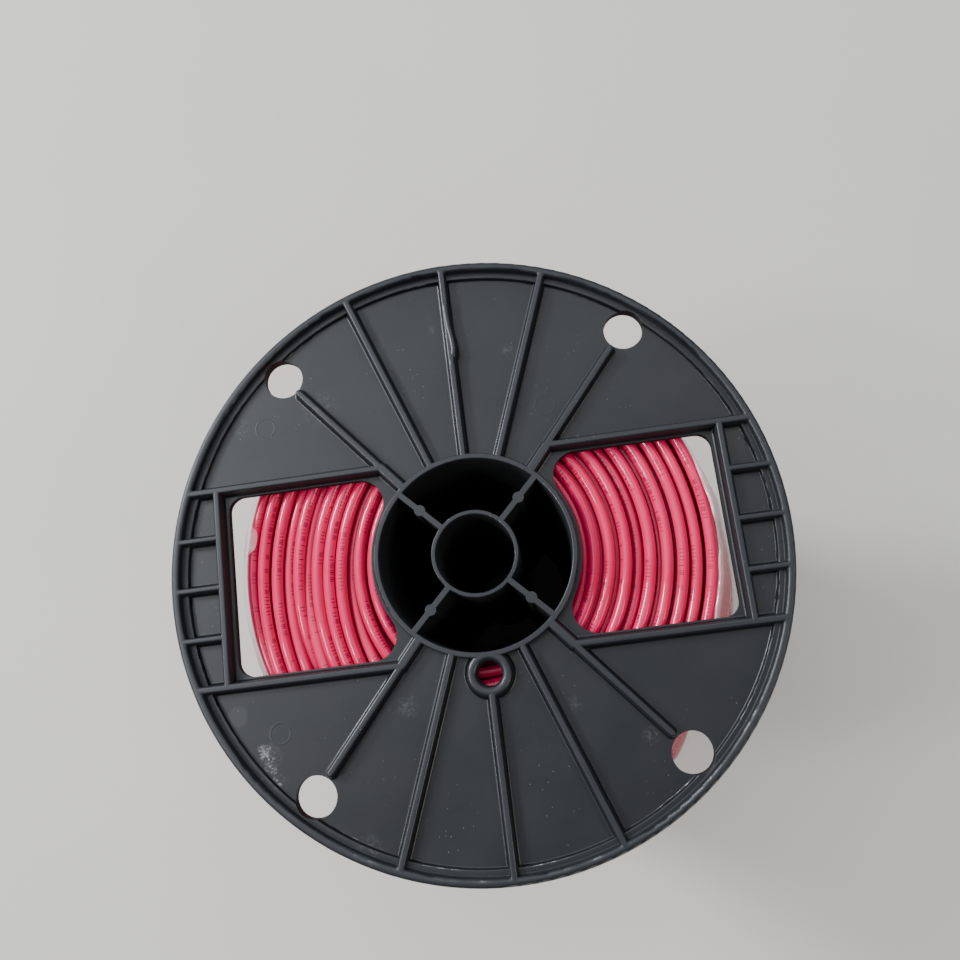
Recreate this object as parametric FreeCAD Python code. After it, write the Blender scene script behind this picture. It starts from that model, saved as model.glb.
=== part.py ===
"""Moulded plastic wire reel, standing on end, wound with one insulated copper wire.

Units are millimetres. +Z is the reel's axis and points up, and the origin is the centre of the lower
flange's outer face. The windows of both flanges lie along X and the radial ribs fan out along Y.
The reel is two identical mouldings, each a ribbed flange with half of the drum, and they are
welded end to end at half height. The wire, its free end and the film round it are separate pieces.
"""
import FreeCAD
import Part

import math
import os

# ---- driving dimensions ----
flange_radius = 82.55
reel_height = 157.5
flange_depth = 5.6
plate_thickness = 2.2

rim_width = 2.3
rim_ledge_width = 1.8
rim_ledge_rise = 1.2
edge_round = 0.8
inner_edge_round = 0.4
foot_round = 0.75

bore_radius = 10.43
hub_wall = 1.25
drum_inner_radius = 25.6
drum_wall = 1.6
web_thickness = 1.5
web_angles = (45, 135, 225, 315)
web_post_radius = 1.5
web_post_distance = 18.8

rib_width = 1.9
rib_draft = 0.3
rib_round = 0.7
fan_step = 20.2
root_rib_width = 2.5
corner_hole_radius = 5.35
corner_hole_distance = 74.3

beam_offset = 26.5
window_half_width = 24.5
window_end = 66.4
window_lip = 1.1
window_outer_round = 4.1
window_inner_round = 6.6
ladder_offset = 68.7
rung_spacing = 13.4
rung_width = 1.6

start_hole_radius = 3.2
start_hole_distance = 31.2
collar_radius = 6.0
collar_round = 1.3

wire_diameter = 3.3
insulation_diameter = 3.1
strand_diameter = 0.45
strand_pitch = 0.465
layer_count = 13
layer_pitch = 2.88
turn_pitch = 3.42
bare_turns = 7
winding_gap = 0.3
end_start_angle = 200
end_sweep = 85

film_thickness = 0.25
film_gap = 0.35
film_bulges = ((-57, 8.2, 12), (-22, 3.2, 17), (8, 1.3, 10), (203, 1.3, 8))
film_points = 72

# ---- derived dimensions ----
rib_height = flange_depth - plate_thickness
drum_radius = drum_inner_radius + drum_wall
hub_radius = bore_radius + hub_wall
half_height = reel_height / 2
wire_radius = wire_diameter / 2
corner_angle = 2 * fan_step
corner_angles = [side + turn for side in (90, 270) for turn in (-corner_angle, corner_angle)]
plate_top = -rib_height
winding_radius = drum_radius + wire_radius + (layer_count - 1) * layer_pitch + wire_radius
winding_bottom = flange_depth + winding_gap
winding_top = reel_height - flange_depth - winding_gap
step_height = winding_bottom + bare_turns * turn_pitch
overlap = 0.4

Z = FreeCAD.Vector(0, 0, 1)
ORIGIN = FreeCAD.Vector(0, 0, 0)


def polar(radius, degrees, z=0.0):
    """The point at a radius and an angle about the axis."""
    turn = math.radians(degrees)
    return FreeCAD.Vector(radius * math.cos(turn), radius * math.sin(turn), z)


def arc(centre, radius, degrees_from, degrees_to):
    """A circular arc in the XY plane, from one angle to another."""
    middle = (degrees_from + degrees_to) / 2
    ends = [centre + polar(radius, degrees) for degrees in (degrees_from, middle, degrees_to)]
    return Part.Arc(*ends).toShape()


def rounded_outline(corners):
    """A closed face in the XZ plane from (across, height, rounding) corners, each rounded by an arc."""
    points = [FreeCAD.Vector(across, 0, height) for across, height, _ in corners]
    edges = []
    starts = []
    ends = []
    for index, (_, _, rounding) in enumerate(corners):
        corner = points[index]
        back = (points[index - 1] - corner).normalize()
        ahead = (points[(index + 1) % len(points)] - corner).normalize()
        half_inside = back.getAngle(ahead) / 2
        reach = rounding / math.tan(half_inside)
        starts.append(corner + back * reach)
        ends.append(corner + ahead * reach)
        if rounding > 0:
            centre_way = (back + ahead).normalize()
            middle = corner + centre_way * (rounding / math.sin(half_inside) - rounding)
            edges.append(Part.Arc(starts[-1], middle, ends[-1]).toShape())
    for index, end in enumerate(ends):
        edges.append(Part.makeLine(end, starts[(index + 1) % len(starts)]))
    return Part.Face(Part.Wire(Part.__sortEdges__(edges)))


def revolve(corners, degrees=360):
    """A ring from its section, a closed list of (radius, height, rounding) corners."""
    return rounded_outline(corners).revolve(ORIGIN, Z, degrees)


def rounded_tube(inner, outer, bottom, rounding):
    """A tube that ends at height 0 with both of its top edges rounded."""
    return revolve([(inner, bottom, 0), (outer, bottom, 0), (outer, 0, rounding), (inner, 0, rounding)])


def rib_flank(width):
    """One side of a rib's section, from its buried base, over the foot, up the draft and over the top."""
    top = width / 2
    base = top + rib_draft
    foot = base + foot_round
    buried = plate_top - overlap
    return [(foot, buried, 0), (foot, plate_top, 0), (base, plate_top, foot_round), (top, 0, rib_round)]


def rib(start, end, width, end_cap=False):
    """A straight rib on the plate, with its rounded top at height 0 and a soft foot along both sides."""
    flank = rib_flank(width)
    mirrored = [(-across, height, rounding) for across, height, rounding in reversed(flank)]
    section = rounded_outline(flank + mirrored)
    run = end - start
    body = section.extrude(FreeCAD.Vector(0, run.Length, 0))
    pieces = [body]
    if end_cap:
        cap = revolve([(0, plate_top - overlap, 0)] + flank + [(0, 0, 0)], 180)
        cap.translate(FreeCAD.Vector(0, run.Length, 0))
        pieces.append(cap)
    heading = math.degrees(math.atan2(run.y, run.x)) - 90
    for piece in pieces:
        piece.rotate(ORIGIN, Z, heading)
        piece.translate(start)
    return pieces


def rim():
    """The flange's raised edge, with a low rounded ledge and a soft foot along its inner side."""
    inner = flange_radius - rim_width
    ledge = inner - rim_ledge_width
    ledge_top = plate_top + rim_ledge_rise
    return revolve([
        (flange_radius, 0, edge_round),
        (flange_radius, -flange_depth, inner_edge_round),
        (ledge - foot_round, -flange_depth, 0),
        (ledge - foot_round, plate_top, 0),
        (ledge, plate_top, foot_round / 2),
        (ledge, ledge_top, inner_edge_round),
        (inner, ledge_top, 0),
        (inner, 0, edge_round),
    ])


def fan_ribs():
    """The radial ribs: three whole ones on each side, and one to each corner hole."""
    rim_inside = flange_radius - rim_width / 2
    drum_middle = drum_radius - drum_wall / 2
    hole_edge = corner_hole_distance - corner_hole_radius - rib_width
    collar_edge = start_hole_distance + collar_radius - rib_width / 2
    beam_distance = beam_offset / math.cos(math.radians(corner_angle))
    ribs = []
    for side in (90, 270):
        for step in (-1, 0, 1):
            first = collar_edge if (side == 270 and step == 0) else drum_middle
            angle = side + step * fan_step
            ribs += rib(polar(first, angle), polar(rim_inside, angle), rib_width)
    for angle in corner_angles:
        ribs += rib(polar(drum_middle, angle), polar(hole_edge, angle), rib_width, end_cap=True)
        ribs += rib(polar(drum_middle, angle), polar(beam_distance, angle), root_rib_width, end_cap=True)
    return ribs


def window_frame():
    """The beams beside the windows, and the ladder of short rungs between each window and the rim."""
    beam_start = beam_offset * math.tan(math.radians(corner_angle))
    reach = flange_radius - rim_width / 2
    beam_end = math.sqrt(reach ** 2 - beam_offset ** 2)
    bars = []
    for side in (-1, 1):
        for flank in (-1, 1):
            start = FreeCAD.Vector(side * beam_start, flank * beam_offset, 0)
            bars += rib(start, FreeCAD.Vector(side * beam_end, flank * beam_offset, 0), rib_width)
        low = FreeCAD.Vector(side * ladder_offset, -beam_offset, 0)
        high = FreeCAD.Vector(side * ladder_offset, beam_offset, 0)
        bars += rib(low, high, rib_width)
        for place in (-rung_spacing, 0, rung_spacing):
            inner = FreeCAD.Vector(side * ladder_offset, place, 0)
            outer = FreeCAD.Vector(side * math.sqrt(reach ** 2 - place ** 2), place, 0)
            bars += rib(inner, outer, rung_width)
    return bars


def window_cut(side):
    """The opening beside the drum: straight on three sides and following the drum on the fourth."""
    lip = drum_radius + window_lip
    inner_y = window_half_width - window_inner_round
    inner_x = math.sqrt((lip + window_inner_round) ** 2 - inner_y ** 2)
    outer_x = window_end - window_outer_round
    outer_y = window_half_width - window_outer_round
    meet = math.degrees(math.atan2(inner_y, inner_x))
    upper_inner = FreeCAD.Vector(inner_x, inner_y, 0)
    lower_inner = FreeCAD.Vector(inner_x, -inner_y, 0)
    upper_outer = FreeCAD.Vector(outer_x, outer_y, 0)
    lower_outer = FreeCAD.Vector(outer_x, -outer_y, 0)
    top = FreeCAD.Vector(0, window_half_width, 0)
    edges = [
        arc(ORIGIN, lip, -meet, meet),
        arc(upper_inner, window_inner_round, 180 + meet, 90),
        Part.makeLine(FreeCAD.Vector(inner_x, 0, 0) + top, FreeCAD.Vector(outer_x, 0, 0) + top),
        arc(upper_outer, window_outer_round, 90, 0),
        Part.makeLine(FreeCAD.Vector(window_end, outer_y, 0), FreeCAD.Vector(window_end, -outer_y, 0)),
        arc(lower_outer, window_outer_round, 0, -90),
        Part.makeLine(FreeCAD.Vector(outer_x, 0, 0) - top, FreeCAD.Vector(inner_x, 0, 0) - top),
        arc(lower_inner, window_inner_round, 270, 180 - meet),
    ]
    cut = Part.Face(Part.Wire(edges)).extrude(Z * (-3 * flange_depth))
    cut.translate(Z * flange_depth)
    if side < 0:
        cut.rotate(ORIGIN, Z, 180)
    return cut


def start_collar():
    """The rounded collar round the hole that the wire's first end can be passed through."""
    foot = collar_radius + rib_draft
    collar = revolve([
        (start_hole_radius, -flange_depth, 0),
        (foot + foot_round, -flange_depth, 0),
        (foot + foot_round, plate_top, 0),
        (foot, plate_top, foot_round),
        (collar_radius, 0, collar_round),
        (start_hole_radius, 0, collar_round),
    ])
    return collar.translated(polar(start_hole_distance, 270))


def web_outline(start, end):
    """The plan of one web, a plain straight strip."""
    side = FreeCAD.Vector(start.y - end.y, end.x - start.x, 0).normalize() * (web_thickness / 2)
    corners = [start - side, end - side, end + side, start + side]
    return Part.Face(Part.makePolygon(corners + corners[:1]))


def drum_core():
    """Half of the drum: its wall, the tube for the arbor, and the four webs with their round posts."""
    core = [
        rounded_tube(drum_inner_radius, drum_radius, -half_height, drum_wall / 4),
        rounded_tube(bore_radius, hub_radius, -half_height, hub_wall / 4),
    ]
    for angle in web_angles:
        web = web_outline(polar(bore_radius + hub_wall / 2, angle), polar(drum_radius - drum_wall / 2, angle))
        core.append(web.extrude(Z * -half_height))
        core.append(Part.makeCylinder(web_post_radius, half_height, polar(web_post_distance, angle, -half_height)))
    return core


def through_hole(radius, place):
    """A plain round hole from one side of the flange to the other."""
    return Part.makeCylinder(radius, 3 * flange_depth, place - Z * (2 * flange_depth))


def flange():
    """The ribbed disc with its rim, collar, windows and holes, open inside the drum's wall."""
    foot_overlap = flange_radius - rim_width - rim_ledge_width
    disc = Part.makeCylinder(foot_overlap, plate_thickness, FreeCAD.Vector(0, 0, -flange_depth))
    solid = disc.multiFuse(fan_ribs() + window_frame() + [rim(), start_collar()])
    cuts = [window_cut(-1), window_cut(1), through_hole(drum_radius - drum_wall / 2, ORIGIN)]
    cuts.append(through_hole(start_hole_radius, polar(start_hole_distance, 270)))
    cuts += [through_hole(corner_hole_radius, polar(corner_hole_distance, angle)) for angle in corner_angles]
    return solid.cut(cuts)


def reel_half():
    """One moulding, with its ribbed face at height 0 and its drum reaching down to the weld."""
    return flange().multiFuse(drum_core()).removeSplitter()


def wire_winding():
    """The wound wire as one body: full layers, with the outer one stopping short above the lower flange."""
    inner = drum_radius + winding_gap
    under = winding_radius - layer_pitch
    return revolve([
        (inner, winding_bottom, 0),
        (under, winding_bottom, 0),
        (under, step_height, 0),
        (winding_radius, step_height, 0),
        (winding_radius, winding_top, 0),
        (inner, winding_top, 0),
    ])


def end_path():
    """The radius and height of the wire's free end, which lies beside the last whole turn."""
    return winding_radius - wire_radius + 0.1, step_height - wire_radius - 0.1


def swept_ring(outer, inner, sweep=end_sweep, across=0.0, up=0.0):
    """A round section, hollow where inner is over 0, carried about the axis along the free end."""
    radius, height = end_path()
    centre = FreeCAD.Vector(radius + across, 0, height + up)
    section = Part.Face(Part.Wire(Part.makeCircle(outer, centre, FreeCAD.Vector(0, 1, 0))))
    if inner > 0:
        hole = Part.Face(Part.Wire(Part.makeCircle(inner, centre, FreeCAD.Vector(0, 1, 0))))
        section = section.cut(hole)
    section.rotate(ORIGIN, Z, end_start_angle)
    return section.revolve(ORIGIN, Z, sweep)


def strand_places():
    """The centres of the 19 strands, as hexagonal rings of 1, 6 and 12 across the conductor."""
    places = {"wire_end_strand_centre": (0.0, 0.0)}
    for ring, name in ((1, "inner"), (2, "outer")):
        number = 0
        for corner in range(6):
            for step in range(ring):
                first = polar(ring * strand_pitch, 60 * corner)
                second = polar(ring * strand_pitch, 60 * (corner + 1))
                place = first + (second - first) * (step / ring)
                number += 1
                places[f"wire_end_strand_{name}_{number:02d}"] = (place.x, place.y)
    return places


def film_outline(gap):
    """The film's plan: close round the winding, and standing off where it is slack."""
    points = []
    for index in range(film_points):
        degrees = 360 * index / film_points
        radius = winding_radius + gap
        for middle, rise, spread in film_bulges:
            away = (degrees - middle + 180) % 360 - 180
            radius += rise * math.exp(-(away / spread) ** 2)
        points.append(polar(radius, degrees))
    curve = Part.BSplineCurve()
    curve.interpolate(points, PeriodicFlag=True)
    return Part.Face(Part.Wire(curve.toShape()))


def stretch_wrap():
    """The clear film round the winding, from flange to flange."""
    sheet = film_outline(film_gap + film_thickness).cut(film_outline(film_gap))
    sheet.translate(Z * winding_bottom)
    return sheet.extrude(Z * (winding_top - winding_bottom))


def save(name, shape):
    """Writes one node, and prints its volume as a check."""
    solids = shape.Solids
    print(f"{name}: {len(solids)} solid, {shape.Volume:.2f} mm3, valid {shape.isValid()}")
    result = solids[0] if len(solids) == 1 else shape
    result.exportStep(f"parts/{name}.step")


def main():
    os.makedirs("parts", exist_ok=True)
    half = reel_half()
    save("upper_reel_half", half.translated(Z * reel_height))
    save("lower_reel_half", half.rotated(ORIGIN, FreeCAD.Vector(0, 1, 0), 180))
    save("wire_winding", wire_winding())
    save("wire_end_nylon_jacket", swept_ring(wire_radius, insulation_diameter / 2))
    conductor_radius = 2 * strand_pitch + strand_diameter / 2
    save("wire_end_insulation", swept_ring(insulation_diameter / 2, conductor_radius))
    for name, (across, up) in strand_places().items():
        save(name, swept_ring(strand_diameter / 2, 0, end_sweep, across, up))
    save("stretch_wrap", stretch_wrap())


main()
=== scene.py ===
"""Looks for the wire reel: moulded plastic, the wound wire, the film round it, light and camera."""

import math

import bpy
import numpy as np
from mathutils import Euler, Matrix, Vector


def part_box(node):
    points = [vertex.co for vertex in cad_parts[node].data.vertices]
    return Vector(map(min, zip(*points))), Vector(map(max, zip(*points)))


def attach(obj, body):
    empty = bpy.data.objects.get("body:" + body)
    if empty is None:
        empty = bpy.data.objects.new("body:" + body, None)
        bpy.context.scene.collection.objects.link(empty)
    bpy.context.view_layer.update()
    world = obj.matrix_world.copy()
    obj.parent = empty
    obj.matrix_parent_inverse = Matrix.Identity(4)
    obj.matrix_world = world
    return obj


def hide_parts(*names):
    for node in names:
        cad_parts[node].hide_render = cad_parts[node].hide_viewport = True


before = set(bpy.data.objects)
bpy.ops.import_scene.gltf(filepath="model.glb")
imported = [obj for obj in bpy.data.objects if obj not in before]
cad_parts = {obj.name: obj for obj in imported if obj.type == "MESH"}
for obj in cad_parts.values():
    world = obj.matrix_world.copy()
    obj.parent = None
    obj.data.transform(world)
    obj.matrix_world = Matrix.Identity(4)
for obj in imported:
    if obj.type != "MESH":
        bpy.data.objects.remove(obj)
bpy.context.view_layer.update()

MM = 0.001
FULL_TURN = 2 * math.pi

# ---- places read from the frame ----
reel_low, reel_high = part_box("lower_reel_half")[0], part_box("upper_reel_half")[1]
winding_low, winding_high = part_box("wire_winding")
end_low, end_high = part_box("wire_end_nylon_jacket")

REEL_FOOT = reel_low[2]
REEL_HEIGHT = reel_high[2]
FLANGE_RADIUS = reel_high[0]
WINDING_RADIUS = winding_high[0]
WIRE_RADIUS = (end_high[2] - end_low[2]) / 2
END_HEIGHT = (end_high[2] + end_low[2]) / 2
END_RADIUS = WINDING_RADIUS - WIRE_RADIUS + 0.1 * MM
END_START = math.radians(200)

# ---- how the wire is laid ----
TURN_PITCH = 3.42 * MM
FIRST_RADIUS = 28.9 * MM
LAYER_PITCH = 2.88 * MM
FACE_GAP = 0.1 * MM
TOP_FACE = winding_high[2] - WIRE_RADIUS - FACE_GAP
BOTTOM_FACE = winding_low[2] + WIRE_RADIUS + FACE_GAP
# one row for each layer's turn at the upper flange, in millimetres: its radius and how far it lies
# below the flange, in the right window, then in the left one, then at the left one's lower corner
TURNS = (
    (28.9, 1.6, 28.9, 0.7, 30.4, 0.7),
    (31.6, 0.0, 32.4, 0.0, 34.5, 0.0),
    (33.4, 2.7, 34.7, 2.3, 37.9, 1.2),
    (35.6, 0.1, 37.4, 0.0, 41.4, 0.0),
    (37.8, 2.5, 40.8, 0.0, 44.9, 0.0),
    (40.1, 0.0, 44.1, 0.1, 48.1, 0.6),
    (43.3, 2.0, 46.9, 1.8, 50.9, 0.0),
    (46.4, 0.0, 49.3, 0.1, 53.0, 2.4),
    (49.1, 2.6, 52.2, 1.4, 55.8, 0.7),
    (51.0, 0.1, 55.3, 0.0, 59.1, 0.0),
    (55.0, 0.0, 59.2, 0.0, 62.5, 0.0),
    (58.6, 0.7, 61.0, 4.2, 63.4, 4.6),
    (62.6, 0.0, 62.6, 1.2, 64.1, 2.0),
)
LAYERS = len(TURNS)
# where the wire climbs from one layer to the next, in degrees, and half of how far that takes it
TOP_CLIMBS = (76, 92, 80, 104, 84, 97)
BOTTOM_CLIMBS = (256, 268, 247, 278, 286, 262)
CLIMB_HALF_WIDTH = 22
TURNS_BUILT = 1.9
STEP_ANGLE = math.radians(3)
TUBE_SIDES = 14

# ---- the film, in degrees and millimetres: the middle, rise and spread of each slack place, and the
# middle, reach and spread of each place where its upper edge folds in ----
FILM_START, FILM_SWEEP = 118.0, 396.0
FILM_GAP = 0.2 * MM
FILM_BULGES = ((-54, 8.4, 13), (-20, 4.6, 15), (6, 1.8, 11), (203, 1.3, 8))
# the deep fold near 168 degrees also carries a painted highlight: the film's folded edge is painted
# white there
FILM_FOLDS = ((168.5, 3.0, 3.6), (10, 0.8, 8), (-20, 0.8, 16))

# ---- marks on the upper flange, in millimetres: their places, then their reach ----
WORN_DEPTH = 4 * MM
PALE_DISC = (-67.5, -34.3)
PIN_MARK_RADIUS = 2.7
PIN_MARKS = ((-54.5, 43.1), (-56.4, -39.8), (23.8, 38.3))
SCUFF_TOUCHES = ((-61.7, -43.0, 0.9), (-60.2, -43.4, 1.0), (-61.1, -45.0, 1.1), (-59.8, -46.5, 1.2),
                 (-60.4, -48.0, 0.8), (-58.9, -48.9, 0.9), (-58.5, -50.9, 0.7), (-57.6, -52.7, 0.6))
SMUDGES = ((-59.6, -45.2, 4.6), (-58.0, -51.8, 3.4), (-22.3, -36.8, 4.0), (-35.6, -70.3, 4.5),
           (-39.0, 46.7, 6.5), (-61.5, 44.4, 3.2), (38.5, -51.1, 3.0), (-4.6, 65.0, 1.8),
           (15.6, 56.1, 2.2), (20.6, -41.2, 2.5))

# ---- the wavy rib, in millimetres: its cross-section, and how far it swings aside along its way ----
RIB_FIRST, RIB_LAST, RIB_STEPS = 50.0, 73.0, 92
RIB_HEIGHT, RIB_CREST = 3.42, 3.5
RIB_SECTION = ((-1.36, 0.0), (-1.13, 0.9), (-1.02, 2.5), (-0.84, 3.1), (-0.5, 3.42), (0.0, RIB_CREST),
               (0.5, 3.42), (0.84, 3.1), (1.02, 2.5), (1.13, 0.9), (1.36, 0.0))
RIB_PLACES = (RIB_FIRST, 54.4, 55.4, 57.5, 60.0, 64.0, 68.0, RIB_LAST)
RIB_SWING = (0.0, 0.0, 0.62, 0.95, 0.8, 0.3, 0.05, 0.0)

# ---- the stage ----
FLOOR_REACH = 3.0
FLOOR_GAP = 0.05 * MM
CAMERA_LENS = 33.375
CAMERA_TILT = (11.797, 4.881, -6.995)
# the camera's place, in flange radii from the middle of the upper flange
CAMERA_PLACE = (0.2124, -0.3807, 2.8143)
# each lamp's azimuth and elevation in degrees, distance, size, power and colour
LAMPS = {
    "window_light": (150, 40, 1.7, 0.3, 27, (0.93, 0.97, 1.0)),
    "wide_window": (140, 66, 1.8, 0.9, 6, (0.93, 0.97, 1.0)),
    "back_light": (48, 60, 1.8, 0.9, 4.5, (0.97, 0.98, 1.0)),
    "side_light": (187, 50, 1.6, 0.2, 7, (1.0, 0.99, 0.97)),
    "room_fill": (-30, 45, 1.8, 0.7, 9, (1.0, 0.96, 0.91)),
}


def rgb(red, green, blue):
    """A linear colour from the 0 to 255 values of a screen colour."""
    def linear(value):
        value /= 255
        return value / 12.92 if value <= 0.04045 else ((value + 0.055) / 1.055) ** 2.4
    return (linear(red), linear(green), linear(blue), 1.0)


def smooth(value):
    """A step from 0 to 1 with soft ends."""
    value = np.clip(value, 0, 1)
    return value * value * (3 - 2 * value)


def ripple(angles, seed, count=5, lowest=1):
    """A smooth uneven wave of about unit size along an angle, the same on every run."""
    random = np.random.default_rng(seed)
    total = np.zeros_like(angles)
    for number in range(count):
        rate = lowest + number + random.uniform(-0.35, 0.35)
        total += np.sin(rate * angles + random.uniform(0, FULL_TURN)) / (1 + 0.5 * number)
    return total / 2


# ---------------------------------------------------------------- materials

def set_range(node, *numbers):
    """Sets what a Map Range node maps from and to."""
    for name, number in zip(("From Min", "From Max", "To Min", "To Max"), numbers):
        node.inputs[name].default_value = number


class Shader:
    """A material's node tree, built with short calls."""

    def __init__(self, name):
        self.material = bpy.data.materials.new(name)
        self.material.use_nodes = True
        self.tree = self.material.node_tree
        self.surface = self.tree.nodes["Principled BSDF"]
        self.output = self.tree.nodes["Material Output"]
        self.place = self.node("ShaderNodeTexCoord").outputs["Object"]

    def set(self, node, **inputs):
        for name, value in inputs.items():
            socket = node.inputs[name.replace("_", " ")]
            if isinstance(value, bpy.types.NodeSocket):
                self.tree.links.new(value, socket)
            else:
                socket.default_value = value

    def node(self, kind, **inputs):
        node = self.tree.nodes.new(kind)
        self.set(node, **inputs)
        return node

    def noise(self, scale, detail=2.0, place=None, roughness=0.5):
        node = self.node("ShaderNodeTexNoise", Vector=place or self.place, Scale=scale, Detail=detail,
                         Roughness=roughness)
        return node.outputs["Fac"]

    def stretched(self, x, y, z):
        return self.node("ShaderNodeMapping", Vector=self.place, Scale=(x, y, z)).outputs["Vector"]

    def distance_from(self, x, y):
        """The distance in plan from a place given in millimetres."""
        flat = self.node("ShaderNodeMapping", Vector=self.place, Location=(-x * MM, -y * MM, 0),
                         Scale=(1, 1, 0))
        length = self.node("ShaderNodeVectorMath")
        length.operation = "LENGTH"
        self.tree.links.new(flat.outputs["Vector"], length.inputs[0])
        return length.outputs["Value"]

    def math(self, kind, first, second=0.0, third=0.0):
        node = self.tree.nodes.new("ShaderNodeMath")
        node.operation = kind
        for socket, value in zip(node.inputs, (first, second, third)):
            if isinstance(value, bpy.types.NodeSocket):
                self.tree.links.new(value, socket)
            else:
                socket.default_value = value
        return node.outputs[0]

    def product(self, first, *others):
        for other in others:
            first = self.math("MULTIPLY", first, other)
        return first

    def highest(self, values):
        first, *others = values
        for other in others:
            first = self.math("MAXIMUM", first, other)
        return first

    def height(self):
        return self.node("ShaderNodeSeparateXYZ", Vector=self.place).outputs["Z"]

    def from_half_height(self):
        """How far a place lies above or below the reel's middle."""
        return self.math("ABSOLUTE", self.math("SUBTRACT", self.height(), REEL_HEIGHT / 2))

    def between(self, value, low, high, new_low=0.0, new_high=1.0):
        """Maps a value from one range to another, held at both ends, with a soft step."""
        node = self.node("ShaderNodeMapRange", Value=value)
        node.interpolation_type = "SMOOTHSTEP"
        set_range(node, low, high, new_low, new_high)
        return node.outputs["Result"]

    def mix(self, share, first, second):
        """Blends two colours."""
        node = self.tree.nodes.new("ShaderNodeMix")
        node.data_type = "RGBA"
        for index, value in ((0, share), (6, first), (7, second)):
            if isinstance(value, bpy.types.NodeSocket):
                self.tree.links.new(value, node.inputs[index])
            else:
                node.inputs[index].default_value = value
        return node.outputs[2]

    def bump(self, height, distance, strength=1.0, normal=None):
        node = self.node("ShaderNodeBump", Height=height, Distance=distance, Strength=strength)
        if normal is not None:
            self.tree.links.new(normal, node.inputs["Normal"])
        return node.outputs["Normal"]


def moulded_plastic():
    """Black polypropylene: satin, faintly uneven, with dust, smears and a few pale scuffs; its outermost
    tops are painted lighter as a painted highlight.
    """
    s = Shader("moulded_plastic")
    body = s.mix(s.between(s.noise(28, 3), 0.35, 0.7), rgb(11, 13, 16), rgb(18, 20, 24))
    facing = s.node("ShaderNodeSeparateXYZ", Vector=s.node("ShaderNodeNewGeometry").outputs["Normal"])
    upright = s.math("ABSOLUTE", facing.outputs["Z"])
    flat = s.between(upright, 0.9, 0.99)
    upper = s.math("GREATER_THAN", s.height(), REEL_HEIGHT - WORN_DEPTH)
    worn = s.math("MULTIPLY", flat, upper)
    # the rib, rim and web tops on the outer face of both flanges are painted lighter, a painted
    # highlight of the light they catch
    painted_top_highlight = s.between(s.from_half_height(), REEL_HEIGHT / 2 - 3.0 * MM, REEL_HEIGHT / 2 - 1.0 * MM)
    scratches = s.between(s.noise(60, 5, s.stretched(6, 1, 1), 0.65), 0.69, 0.76)
    scratches = s.math("MULTIPLY", scratches, s.between(s.noise(22, 1), 0.5, 0.62))
    disc = s.between(s.distance_from(*PALE_DISC), 2.3 * MM, 3.0 * MM, 0.035, 0.0)
    colour = body
    for share, shade in ((s.product(painted_top_highlight, 0.6), rgb(30, 33, 38)),
                         (s.product(scratches, flat, 0.3), rgb(126, 128, 130)),
                         (s.product(specks(s), flat, 0.4), rgb(160, 160, 158)),
                         (s.product(smudges(s), worn, 0.16), rgb(140, 142, 144)),
                         (s.product(disc, worn), rgb(150, 152, 152)),
                         (s.product(scuff(s), worn), rgb(186, 186, 184))):
        colour = s.mix(share, colour, shade)
    rough = s.between(s.noise(70, 4, roughness=0.6), 0.3, 0.72, 0.25, 0.37)
    rough = s.math("ADD", rough, s.math("MULTIPLY", flat, 0.11))
    wall = s.between(upright, 0.1, 0.4, 1.0, 0.0)
    rough = s.math("MAXIMUM", rough, s.math("MULTIPLY", wall, 0.8))
    relief = s.math("ADD", s.math("MULTIPLY", s.noise(900, 2), 0.35), s.noise(160, 2))
    # edges look crisp on the ribs and worn round on the rim
    edge_radius = s.between(s.distance_from(0, 0), FLANGE_RADIUS - 3.4 * MM, FLANGE_RADIUS - 2.2 * MM,
                            0.15 * MM, 0.9 * MM)
    bevel = s.node("ShaderNodeBevel", Radius=edge_radius)
    bevel.samples = 6
    normal = s.bump(relief, 0.05 * MM, s.math("MULTIPLY_ADD", flat, 0.3, 0.04), bevel.outputs["Normal"])
    normal = s.bump(s.product(pin_marks(s), upper), 0.05 * MM, 0.4, normal)
    s.set(s.surface, Base_Color=colour, Roughness=rough, Normal=normal)
    s.surface.inputs["Specular IOR Level"].default_value = 0.4
    return s.material


def specks(s):
    """Single grains of pale dust, uneven in size and thinly spread."""
    cells = s.node("ShaderNodeTexVoronoi", Vector=s.place, Scale=700.0)
    chance = s.node("ShaderNodeSeparateColor", Color=cells.outputs["Color"]).outputs[0]
    chosen = s.math("GREATER_THAN", chance, 0.55)
    grain = s.between(cells.outputs["Distance"], 0.06, 0.1, 1.0, 0.0)
    patches = s.between(s.noise(45, 3), 0.42, 0.62)
    return s.product(grain, chosen, patches)


def scuff(s):
    """One pale rubbed streak on the plate, made of a few short touches."""
    touches = [s.between(s.distance_from(x, y), 0.6 * reach * MM, 1.5 * reach * MM, 1.0, 0.0)
               for x, y, reach in SCUFF_TOUCHES]
    broken = s.between(s.noise(1300, 5, roughness=0.85), 0.46, 0.62)
    return s.product(s.highest(touches), broken, 0.36)


def smudges(s):
    """Faint patches of fine pale dust."""
    patches = [s.between(s.distance_from(x, y), 0.2 * reach * MM, reach * MM, 1.0, 0.0)
               for x, y, reach in SMUDGES]
    return s.product(s.highest(patches), s.between(s.noise(1100, 5, roughness=0.8), 0.46, 0.66))


def pin_marks(s):
    """The faint round marks that the mould's ejector pins leave."""
    rings = []
    for x, y in PIN_MARKS:
        off_line = s.math("ABSOLUTE", s.math("SUBTRACT", s.distance_from(x, y), PIN_MARK_RADIUS * MM))
        rings.append(s.between(off_line, 0.1 * MM, 0.3 * MM, 1.0, 0.0))
    return s.highest(rings)


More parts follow.
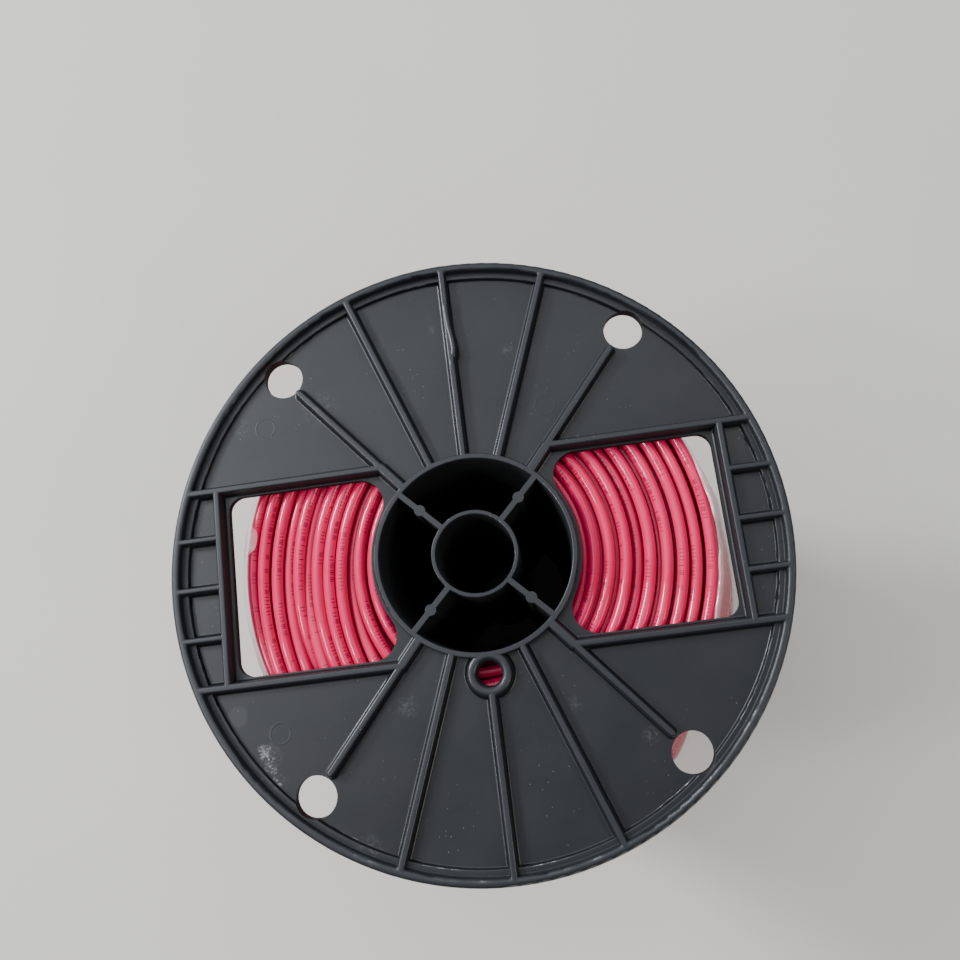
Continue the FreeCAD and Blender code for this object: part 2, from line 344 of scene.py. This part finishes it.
def wire_cover(name, printed):
    """Pink-red insulation under clear glossy nylon, with or without a row of printed ticks."""
    s = Shader(name)
    colour = s.mix(s.between(s.noise(55, 2), 0.3, 0.7), rgb(198, 14, 70), rgb(214, 24, 84))
    # painted shade: darker down in the grooves between the turns at both flanges, where less light
    # reaches
    depth = s.math("SUBTRACT", TOP_FACE + WIRE_RADIUS - REEL_HEIGHT / 2, s.from_half_height())
    painted_groove_shade = s.product(s.between(depth, 0.9 * MM, 2.5 * MM),
                       s.between(depth, 4 * MM, 6 * MM, 1.0, 0.0), 0.5)
    colour = s.mix(painted_groove_shade, colour, rgb(112, 8, 34))
    if printed:
        colour = s.mix(printed_ticks(s), colour, rgb(64, 12, 36))
    rough = s.between(s.noise(240, 3), 0.35, 0.75, 0.3, 0.42)
    normal = s.bump(s.noise(700, 2), 0.02 * MM, 0.5)
    s.set(s.surface, Base_Color=colour, Roughness=rough, Normal=normal)
    s.surface.inputs["Specular IOR Level"].default_value = 0.08
    s.surface.inputs["Coat Weight"].default_value = 0.55
    s.surface.inputs["Coat Roughness"].default_value = 0.06
    return s.material


def printed_ticks(s):
    """A row of plain short strokes along the wire, in groups, standing in for its printed legend."""
    stroke_pitch = 1.95 * MM
    group_pitch = 19 * MM
    half_height = 0.06
    lay = s.node("ShaderNodeUVMap").outputs["UV"]
    split = s.node("ShaderNodeSeparateXYZ", Vector=lay)
    along = split.outputs["X"]
    around = s.math("SUBTRACT", s.math("FRACT", split.outputs["Y"]), 0.5)
    cell = s.math("DIVIDE", along, stroke_pitch)
    chance = chance_for(s, s.math("FLOOR", cell))
    inside = s.math("ABSOLUTE", s.math("SUBTRACT", s.math("FRACT", cell), 0.5))
    offset = s.math("MULTIPLY_ADD", chance, 0.06, -0.03)
    height = s.math("ABSOLUTE", s.math("SUBTRACT", around, offset))
    # each place in the row holds one bar, a pair of bars or all three, and no bars are joined
    upright = s.between(s.math("ABSOLUTE", s.math("SUBTRACT", inside, 0.24)), 0.03, 0.08, 1.0, 0.0)
    single = s.between(inside, 0.04, 0.09, 1.0, 0.0)
    bar = s.math("MAXIMUM", s.math("MULTIPLY", upright, s.math("GREATER_THAN", chance, 0.45)),
                 s.math("MULTIPLY", single, s.math("LESS_THAN", chance, 0.7)))
    bar = s.math("MULTIPLY", bar, s.between(height, half_height * 0.85, half_height * 1.1, 1.0, 0.0))
    group = chance_for(s, s.math("FLOOR", s.math("DIVIDE", along, group_pitch)))
    worn = s.between(s.noise(500, 2), 0.3, 0.6, 0.6, 0.95)
    return s.product(bar, s.math("GREATER_THAN", chance, 0.32),
                     s.math("GREATER_THAN", group, 0.38), worn)


def chance_for(s, number):
    """A fixed value from 0 to 1 for each whole number."""
    node = s.node("ShaderNodeTexWhiteNoise")
    node.noise_dimensions = "1D"
    s.tree.links.new(number, node.inputs["W"])
    return node.outputs["Value"]


def core_shade():
    """The depth of the winding, in a darker red than the wire as painted shade, seen only through the
    gaps between the end turns.
    """
    s = Shader("winding_depth")
    colour = s.mix(s.between(s.noise(300, 2), 0.3, 0.7), rgb(128, 20, 46), rgb(160, 30, 62))
    s.set(s.surface, Base_Color=colour, Roughness=s.between(s.noise(200, 2), 0.3, 0.7, 0.45, 0.6))
    return s.material


def copper():
    """Bright bare copper strands, with faint drawing lines."""
    s = Shader("bare_copper")
    colour = s.mix(s.between(s.noise(900, 2), 0.3, 0.7), rgb(206, 122, 88), rgb(230, 150, 112))
    rough = s.between(s.noise(2500, 2), 0.3, 0.7, 0.2, 0.38)
    s.set(s.surface, Base_Color=colour, Roughness=rough, Normal=s.bump(s.noise(3000, 2), 0.01 * MM, 0.4))
    s.surface.inputs["Metallic"].default_value = 1.0
    return s.material


def nylon_skin():
    """The thin clear nylon over the insulation."""
    s = Shader("nylon_skin")
    colour = s.mix(s.between(s.noise(300, 2), 0.3, 0.7), rgb(210, 54, 82), rgb(224, 70, 96))
    s.set(s.surface, Base_Color=colour, Roughness=s.between(s.noise(400, 2), 0.3, 0.7, 0.16, 0.3))
    s.surface.inputs["Coat Weight"].default_value = 0.8
    s.surface.inputs["Coat Roughness"].default_value = 0.1
    return s.material


def clear_film():
    """Thin clear stretch film: glossy, nearly invisible face on, milky where slack or seen edge on, and
    white at its deep upper fold as a painted highlight.
    """
    s = Shader("clear_film")
    streaks = s.noise(70, 3, s.stretched(1, 1, 0.3), 0.5)
    creases = s.noise(170, 3, s.stretched(0.3, 0.3, 1.3), 0.55)
    # the slack attribute also carries the folded upper edge, painted milky white there as a painted
    # highlight of glare
    slack = s.node("ShaderNodeAttribute")
    slack.attribute_name = "slack"
    drawn = s.math("MAXIMUM", s.between(streaks, 0.42, 0.72, 0.25, 0.7), s.between(creases, 0.45, 0.76))
    facing = s.node("ShaderNodeLayerWeight", Blend=0.5).outputs["Facing"]
    grazing = s.between(facing, 0.45, 0.95)
    milky = s.math("MULTIPLY", drawn, s.math("MULTIPLY_ADD", slack.outputs["Fac"], 0.82, 0.05))
    haze = s.math("MULTIPLY", grazing, s.math("MULTIPLY_ADD", slack.outputs["Fac"], 0.7, 0.05))
    share = s.math("MINIMUM", s.math("ADD", s.math("ADD", milky, haze), 0.02), 0.9)
    s.set(s.surface, Base_Color=s.mix(drawn, rgb(246, 168, 170), rgb(255, 236, 232)))
    s.set(s.surface, Roughness=s.between(creases, 0.4, 0.8, 0.08, 0.3), Alpha=share,
          Normal=s.bump(s.math("ADD", streaks, creases), 0.5 * MM, 0.8))
    s.surface.inputs["Coat Weight"].default_value = 1.0
    s.surface.inputs["Coat Roughness"].default_value = 0.06
    return s.material


def pale_floor():
    """A plain pale floor."""
    s = Shader("pale_floor")
    colour = s.mix(s.between(s.noise(3, 3), 0.3, 0.7), rgb(190, 187, 181), rgb(196, 193, 187))
    s.set(s.surface, Base_Color=colour, Roughness=0.75)
    return s.material


# ---------------------------------------------------------------- the winding

def left_share(degrees):
    """How much a place belongs to the left window rather than the right one."""
    return smooth((degrees - 45) / 85) * (1 - smooth((degrees - 226) / 88))


def window_shares(angles):
    """How much a place belongs to the right window, the left one, and the left one's lower corner."""
    degrees = np.degrees(angles) % 360
    left = left_share(degrees)
    low = np.clip((degrees - 168) / 43, 0, 1.27) ** 2
    return 1 - left, left * (1 - low), left * low


def straighter(angles):
    """The extra radius towards both ends of a window, where the turns lie flatter than a circle."""
    degrees = np.degrees(angles) % 360
    right = np.minimum(np.minimum(degrees, 360 - degrees) / 30, 1.4) ** 2 * 0.6 * MM
    left = np.clip((168 - degrees) / 20, 0, 1.6) ** 2 * 0.5 * MM
    share = left_share(degrees)
    return right * (1 - share) + left * share


def blend(layer, column, angles):
    """A layer's radius (column 0) or sink (column 1), blended between the places it was measured at."""
    return MM * sum(share * TURNS[layer][column + 2 * place]
                    for place, share in enumerate(window_shares(angles)))


def top_radius(layer, angles):
    """A layer's radius at the upper flange, where the turns lie unevenly."""
    return blend(layer, 0, angles) + straighter(angles) + 0.05 * MM * ripple(angles, 40 + layer)


def top_sink(layer, angles):
    """How far below its neighbours a layer's turn lies at the upper flange."""
    return blend(layer, 1, angles)


def bottom_radius(layer, angles):
    """A layer's radius at the lower flange."""
    return FIRST_RADIUS + layer * LAYER_PITCH + 0.15 * MM * ripple(angles, 70 + layer)


def bottom_sink(layer, angles):
    """How far the turns sit off the lower flange."""
    return 0.35 * MM * (1 + (-1) ** layer + ripple(angles, 170 + layer))


def path_points(angles, radii, heights):
    return np.stack((radii * np.cos(angles), radii * np.sin(angles), heights), axis=1)


def turns_passed(away):
    """How many whole turns lie between a place and the flange; each is flat, then steps over."""
    turns = np.abs(away) / FULL_TURN
    nearest = np.floor(turns + 0.5)
    return np.maximum(0, nearest - 1 + smooth((turns - nearest + 0.07) / 0.14))


def climbing_path(layer, climb, before, after, face, inward, radius_of, sink_of):
    """The wire arriving at a flange in one layer, climbing over itself, and leaving in the next."""
    half_width = math.radians(CLIMB_HALF_WIDTH)
    middle = math.radians(climb)
    angles = np.arange(middle - before * FULL_TURN,
                       middle + after * FULL_TURN + STEP_ANGLE / 2, STEP_ANGLE)
    away = angles - middle
    rise = smooth((away + half_width) / (2 * half_width))
    radii = radius_of(layer, angles) * (1 - rise) + radius_of(layer + 1, angles) * rise
    sink = sink_of(layer, angles) * (1 - rise) + sink_of(layer + 1, angles) * rise
    heights = face + inward * (turns_passed(away) * TURN_PITCH + sink)
    return path_points(angles, radii, heights)


def first_layer_path():
    """The first turns on the drum, from the upper flange down."""
    start = math.radians(96)
    angles = np.arange(start, start + TURNS_BUILT * FULL_TURN, STEP_ANGLE)
    depth = turns_passed(angles - start) * TURN_PITCH + top_sink(0, angles)
    return path_points(angles, top_radius(0, angles), TOP_FACE - depth)


def outer_layer_path():
    """The outer layer, flat turns that each step down at the back, ending where the free end begins."""
    step_start = math.radians(95)
    step_width = math.radians(60)
    half_width = math.radians(CLIMB_HALF_WIDTH)
    turns = round((TOP_FACE - END_HEIGHT) / TURN_PITCH)
    pitch = (TOP_FACE - END_HEIGHT) / turns
    start = math.radians(TOP_CLIMBS[-1])
    end = END_START + turns * FULL_TURN
    count = int((end - start) / STEP_ANGLE) + 1
    angles = np.linspace(start - half_width, end, count)
    whole = np.floor((angles - step_start) / FULL_TURN)
    part = (angles - step_start) - whole * FULL_TURN
    passed = np.maximum(0, whole - 1 + smooth(part / step_width))
    ending = smooth((end - angles) / math.radians(30))
    climb = smooth((angles - start + half_width) / (2 * half_width))
    onto = top_radius(LAYERS - 2, angles) * (1 - climb) + top_radius(LAYERS - 1, angles) * climb
    settled = smooth(passed)
    laid = END_RADIUS + 0.09 * MM * ripple(angles, 5, 9, 0.7) * ending
    radii = onto * (1 - settled) + laid * settled
    sink = top_sink(LAYERS - 2, angles) * (1 - climb) + top_sink(LAYERS - 1, angles) * climb
    heights = TOP_FACE - pitch * passed - sink * (1 - settled)
    heights += 0.05 * MM * ripple(angles, 6, 9, 0.6) * ending * settled
    return path_points(angles, radii, heights)


def last_inner_path():
    """The layer under the outer one, arriving at the upper flange."""
    end = math.radians(TOP_CLIMBS[-1] - CLIMB_HALF_WIDTH)
    angles = np.arange(end - TURNS_BUILT * FULL_TURN, end, STEP_ANGLE)
    depth = turns_passed(angles - end) * TURN_PITCH + top_sink(LAYERS - 2, angles)
    return path_points(angles, top_radius(LAYERS - 2, angles), TOP_FACE - depth)


def bare_layer_path():
    """The layer below the outer one, where the outer layer stops short of the lower flange."""
    return climbing_path(LAYERS - 3, BOTTOM_CLIMBS[-1], 1.6, 9.3, BOTTOM_FACE, 1,
                         bottom_radius, bottom_sink)


def tube_mesh(name, paths, material):
    """Round wire along several paths, as one piece, with length and turn round the wire as its UVs."""
    vertices, faces, uvs = [], [], []
    for number, path in enumerate(paths):
        along = np.gradient(path, axis=0)
        along /= np.linalg.norm(along, axis=1)[:, None]
        outward = path * (1, 1, 0)
        outward -= (outward * along).sum(axis=1)[:, None] * along
        outward /= np.linalg.norm(outward, axis=1)[:, None]
        upward = np.cross(along, outward)
        around = np.arange(TUBE_SIDES) * FULL_TURN / TUBE_SIDES
        ring = np.cos(around)[:, None] * outward[:, None] + np.sin(around)[:, None] * upward[:, None]
        base = len(vertices)
        vertices.extend((path[:, None] + WIRE_RADIUS * ring).reshape(-1, 3).tolist())
        lengths = np.concatenate(([0.0], np.cumsum(np.linalg.norm(np.diff(path, axis=0), axis=1))))
        # the printed row lies on top of the turns at the flange, and wanders further down
        wander = 0.06 + 0.3 * smooth((lengths - 0.9) / 0.6)
        twist = wander * ripple(lengths * 7, 200 + number, 4) - 0.14
        # each path starts at another place in the legend
        lengths += 3.7 * number
        for row in range(len(path) - 1):
            for side in range(TUBE_SIDES):
                following = (side + 1) % TUBE_SIDES
                near, far = base + row * TUBE_SIDES, base + (row + 1) * TUBE_SIDES
                faces.append((near + side, near + following, far + following, far + side))
                low, high = side / TUBE_SIDES, (side + 1) / TUBE_SIDES
                uvs += [(lengths[row], low + twist[row]), (lengths[row], high + twist[row]),
                        (lengths[row + 1], high + twist[row + 1]),
                        (lengths[row + 1], low + twist[row + 1])]
        for row, order in ((0, -1), (len(path) - 1, 1)):
            cap = [base + row * TUBE_SIDES + side for side in range(TUBE_SIDES)][::order]
            faces.append(cap)
            uvs += [(0.0, 0.0)] * TUBE_SIDES
    return finish_piece(name, vertices, faces, material, uvs)


def finish_piece(name, vertices, faces, material, uvs=None):
    """Makes an object that rides on the reel from its points and faces."""
    mesh = bpy.data.meshes.new(name)
    mesh.from_pydata(vertices, [], faces)
    if uvs is not None:
        layer = mesh.uv_layers.new(name="lay")
        layer.data.foreach_set("uv", np.array(uvs, dtype=np.float32).ravel())
    mesh.materials.append(material)
    mesh.shade_smooth()
    mesh.update()
    piece = bpy.data.objects.new(name, mesh)
    bpy.context.collection.objects.link(piece)
    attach(piece, "root")
    return piece


def lathe(name, profile, material, segments=96):
    """A ring turned about the axis from a closed profile of (radius, height) points."""
    count = len(profile)
    vertices = []
    faces = []
    for index in range(segments):
        angle = FULL_TURN * index / segments
        vertices += [(r * math.cos(angle), r * math.sin(angle), z) for r, z in profile]
        following = (index + 1) % segments
        for corner in range(count):
            after = (corner + 1) % count
            faces.append((index * count + corner, following * count + corner,
                          following * count + after, index * count + after))
    return finish_piece(name, vertices, faces, material)


def make_winding(cover, depth):
    """Every turn that can be seen, over a core that fills the rest of the winding."""
    top_paths = [first_layer_path(), last_inner_path()]
    top_paths += [climbing_path(2 * pair + 1, climb, TURNS_BUILT, TURNS_BUILT, TOP_FACE, -1,
                                top_radius, top_sink)
                  for pair, climb in enumerate(TOP_CLIMBS[:-1])]
    bottom_paths = [climbing_path(2 * pair, climb, TURNS_BUILT, TURNS_BUILT, BOTTOM_FACE, 1,
                                  bottom_radius, bottom_sink)
                    for pair, climb in enumerate(BOTTOM_CLIMBS[:-1])]
    pieces = [
        tube_mesh("wire_turns_at_upper_flange", top_paths, cover),
        tube_mesh("wire_turns_at_lower_flange", bottom_paths + [bare_layer_path()], cover),
        tube_mesh("wire_outer_layer", [outer_layer_path()], cover),
        lathe("wire_hidden_turns", core_profile(), depth),
    ]
    for piece in pieces:
        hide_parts("wire_winding")


def core_profile():
    """The winding's inside, a little lower than the turns that cover it, with a ridge for each layer."""
    inner = FIRST_RADIUS - 0.8 * WIRE_RADIUS
    low = BOTTOM_FACE + TURN_PITCH
    high = TOP_FACE - TURN_PITCH
    outer = END_RADIUS - LAYER_PITCH - 0.4 * WIRE_RADIUS
    upper = []
    lower = []
    steps = 6 * LAYERS
    for index in range(steps + 1):
        radius = inner + (outer - inner) * index / steps
        ridge = abs(math.sin(math.pi * index * LAYERS / steps)) * 0.8 * MM
        upper.append((radius, high + ridge))
        lower.append((radius, low - ridge))
    return lower + upper[::-1]


# ---------------------------------------------------------------- the film

def off_middle(degrees, middle):
    """The signed angle from a middle to a place, at most half a turn."""
    return (degrees - middle + 180) % 360 - 180


def slackness(degrees):
    """0 where the film is tight on the wire, rising to 1 where it stands off."""
    total = 0.0
    for middle, height_out, spread in FILM_BULGES:
        away = off_middle(degrees, middle)
        total += min(1.0, height_out / 2.4) * math.exp(-(away / (1.25 * spread)) ** 2)
    return min(total, 1.0)


def film_radius(degrees, height):
    """How far out the film lies: close on the wire, and standing off a little below its upper edge."""
    turn = np.array([math.radians(degrees)])
    at_edge = float(top_radius(LAYERS - 1, turn)[0])
    depth = winding_high[2] - height
    settled = float(smooth(depth / (6 * MM)))
    radius = at_edge * (1 - settled) + END_RADIUS * settled + WIRE_RADIUS + FILM_GAP
    rise = 0.0
    for middle, height_out, spread in FILM_BULGES:
        rise += height_out * MM * math.exp(-(off_middle(degrees, middle) / spread) ** 2)
    # below the wire's free end the outer layer is missing, so the film lies further in
    bare = float(smooth((END_HEIGHT - 3 * MM - height) / (7 * MM)))
    radius -= 1.6 * MM * bare
    # a slack place is held in at both edges of the film, most of all at the upper one
    from_top = float(smooth(depth / (7 * MM)))
    from_foot = float(smooth((height - winding_low[2]) / (9 * MM)))
    return radius + rise * (0.12 + 0.88 * from_top) * (0.3 + 0.7 * from_foot)


def film_crease(degrees, height):
    """Shallow creases, mostly up and down the film, deeper where it is slack."""
    turn = math.radians(degrees)
    lean = height / REEL_HEIGHT
    wave = math.sin(23 * turn + 5 * lean + 0.4) + math.sin(37 * turn - 9 * lean + 0.5)
    wave += math.sin(61 * turn + 14 * lean + 0.8) * 0.6
    wave *= 0.6 + 0.4 * math.sin(7 * lean * math.pi + 3 * turn)
    return (0.03 + 0.07 * slackness(degrees)) * wave * MM


def film_fold(degrees):
    """How far the film's upper edge folds in over the wire."""
    total = 0.2
    for middle, reach, spread in FILM_FOLDS:
        total += reach * math.exp(-(off_middle(degrees, middle) / spread) ** 4)
    return total * MM


def make_film(material):
    """One turn and a bit of film, lapped over its own start, its upper edge folded in a little."""
    columns, rows, fold_rows = 360, 70, 4
    low = winding_low[2] + 0.1 * MM
    high = winding_high[2] - 0.1 * MM
    stride = fold_rows + rows + 1
    vertices = []
    faces = []
    milky = []
    for column in range(columns + 1):
        share = column / columns
        degrees = FILM_START + FILM_SWEEP * share
        turn = math.radians(degrees)
        lap = 0.3 * MM * float(smooth((share - 0.85) / 0.06))
        fold = film_fold(degrees)
        for row in range(-fold_rows, rows + 1):
            folded = max(-row, 0) / fold_rows
            height = high - (high - low) * (max(row, 0) / rows) ** 1.6
            radius = film_radius(degrees, height) + film_crease(degrees, height) + lap - fold * folded
            height += 0.3 * min(fold, MM) * math.sin(math.pi * folded)
            vertices.append((radius * math.cos(turn), radius * math.sin(turn), height))
            # the folded upper edge is made milky, most of all at the deep fold near 168 degrees, where
            # this whiteness is a painted highlight of glare on the film
            edge = min(1.0, 1.4 * fold / MM) * (1 + 0.9 * slackness(degrees)) if row < 2 else 0.0
            milky.append(max(slackness(degrees), edge))
        if column:
            for row in range(stride - 1):
                corner = (column - 1) * stride + row
                faces.append((corner, corner + 1, corner + stride + 1, corner + stride))
    film = finish_piece("stretch_film", vertices, faces, material)
    film.data.attributes.new("slack", "FLOAT", "POINT").data.foreach_set("value", milky)
    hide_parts("stretch_wrap")


# ---------------------------------------------------------------- the flawed rib

def make_rib_flaw(material):
    """The wavy stretch of the upper flange's back rib, where its mould was damaged."""
    count = len(RIB_SECTION)
    vertices = []
    faces = []
    for step in range(RIB_STEPS + 1):
        out = RIB_FIRST + (RIB_LAST - RIB_FIRST) * step / RIB_STEPS
        swing = np.interp(out, RIB_PLACES, RIB_SWING)
        # both ends sink into the straight rib, and there is a small dip where the wave begins
        sunk = 0.4 * (1 - float(smooth((out - RIB_FIRST) / 3)) * float(smooth((RIB_LAST - out) / 3)))
        sunk += 0.22 * math.exp(-((out - 55.0) / 0.45) ** 2)
        for across, rise in RIB_SECTION:
            height = rise - RIB_HEIGHT - sunk * rise / RIB_CREST
            vertices.append(((across + swing) * MM, out * MM, REEL_HEIGHT + height * MM))
        if step:
            for corner in range((step - 1) * count, step * count - 1):
                faces.append((corner, corner + 1, corner + count + 1, corner + count))
    finish_piece("wavy_rib_stretch", vertices, faces, material)


# ---------------------------------------------------------------- stage

def make_camera():
    """The view from above the upper flange, leaning a little, as the reel stands on the floor."""
    data = bpy.data.cameras.new("camera")
    data.lens = CAMERA_LENS
    data.sensor_width = 36
    camera = bpy.data.objects.new("camera", data)
    camera.rotation_euler = Euler([math.radians(angle) for angle in CAMERA_TILT])
    camera.location = Vector((0, 0, REEL_HEIGHT)) + FLANGE_RADIUS * Vector(CAMERA_PLACE)
    bpy.context.collection.objects.link(camera)
    bpy.context.scene.camera = camera


def area_light(name, place, size, power, colour):
    """A square lamp that points at the middle of the reel."""
    data = bpy.data.lights.new(name, "AREA")
    data.size = size
    data.energy = power
    data.color = colour
    lamp = bpy.data.objects.new(name, data)
    lamp.location = place
    aim = Vector((0, 0, REEL_HEIGHT / 2)) - Vector(place)
    lamp.rotation_euler = aim.to_track_quat("-Z", "Y").to_euler()
    bpy.context.collection.objects.link(lamp)


def lamp_place(azimuth, elevation, distance, above=REEL_HEIGHT / 2):
    """A place seen from the reel at an angle about it and an angle above the floor, in degrees."""
    turn, lift = math.radians(azimuth), math.radians(elevation)
    return (distance * math.cos(lift) * math.cos(turn), distance * math.cos(lift) * math.sin(turn),
            above + distance * math.sin(lift))


def soft_room():
    """Soft daylight from all round, brightest at the back left and fading towards the front right."""
    world = bpy.data.worlds.new("soft_room")
    world.use_nodes = True
    tree = world.node_tree
    background = tree.nodes["Background"]
    background.inputs["Color"].default_value = (0.88, 0.94, 1.0, 1)
    towards = tree.nodes.new("ShaderNodeVectorMath")
    towards.operation = "DOT_PRODUCT"
    towards.inputs[1].default_value = Vector(lamp_place(135, 38, 1.0, 0.0))
    fade = tree.nodes.new("ShaderNodeMapRange")
    fade.interpolation_type = "SMOOTHSTEP"
    set_range(fade, 0.0, 0.95, 0.15, 1.4)
    tree.links.new(tree.nodes.new("ShaderNodeTexCoord").outputs["Generated"], towards.inputs[0])
    tree.links.new(towards.outputs["Value"], fade.inputs["Value"])
    tree.links.new(fade.outputs["Result"], background.inputs["Strength"])
    bpy.context.scene.world = world


def make_lights():
    soft_room()
    for name, (azimuth, elevation, distance, size, power, colour) in LAMPS.items():
        area_light(name, lamp_place(azimuth, elevation, distance), size, power, colour)


def make_floor():
    level = REEL_FOOT - FLOOR_GAP
    mesh = bpy.data.meshes.new("floor")
    corners = [(FLOOR_REACH * x, FLOOR_REACH * y, level)
               for x, y in ((-1, -1), (1, -1), (1, 1), (-1, 1))]
    mesh.from_pydata(corners, [], [(0, 1, 2, 3)])
    mesh.materials.append(pale_floor())
    floor = bpy.data.objects.new("floor", mesh)
    bpy.context.collection.objects.link(floor)


def dress(node, material):
    """Gives a carried-over CAD node its finished material."""
    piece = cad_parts[node]
    piece.data.materials.clear()
    piece.data.materials.append(material)


def main():
    make_camera()
    make_floor()
    make_lights()
    plastic = moulded_plastic()
    dress("upper_reel_half", plastic)
    dress("lower_reel_half", plastic)
    make_rib_flaw(plastic)
    make_winding(wire_cover("printed_wire", True), core_shade())
    dress("wire_end_insulation", wire_cover("plain_wire", False))
    dress("wire_end_nylon_jacket", nylon_skin())
    strand_metal = copper()
    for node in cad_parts:
        if "strand" in node:
            dress(node, strand_metal)
    make_film(clear_film())


main()
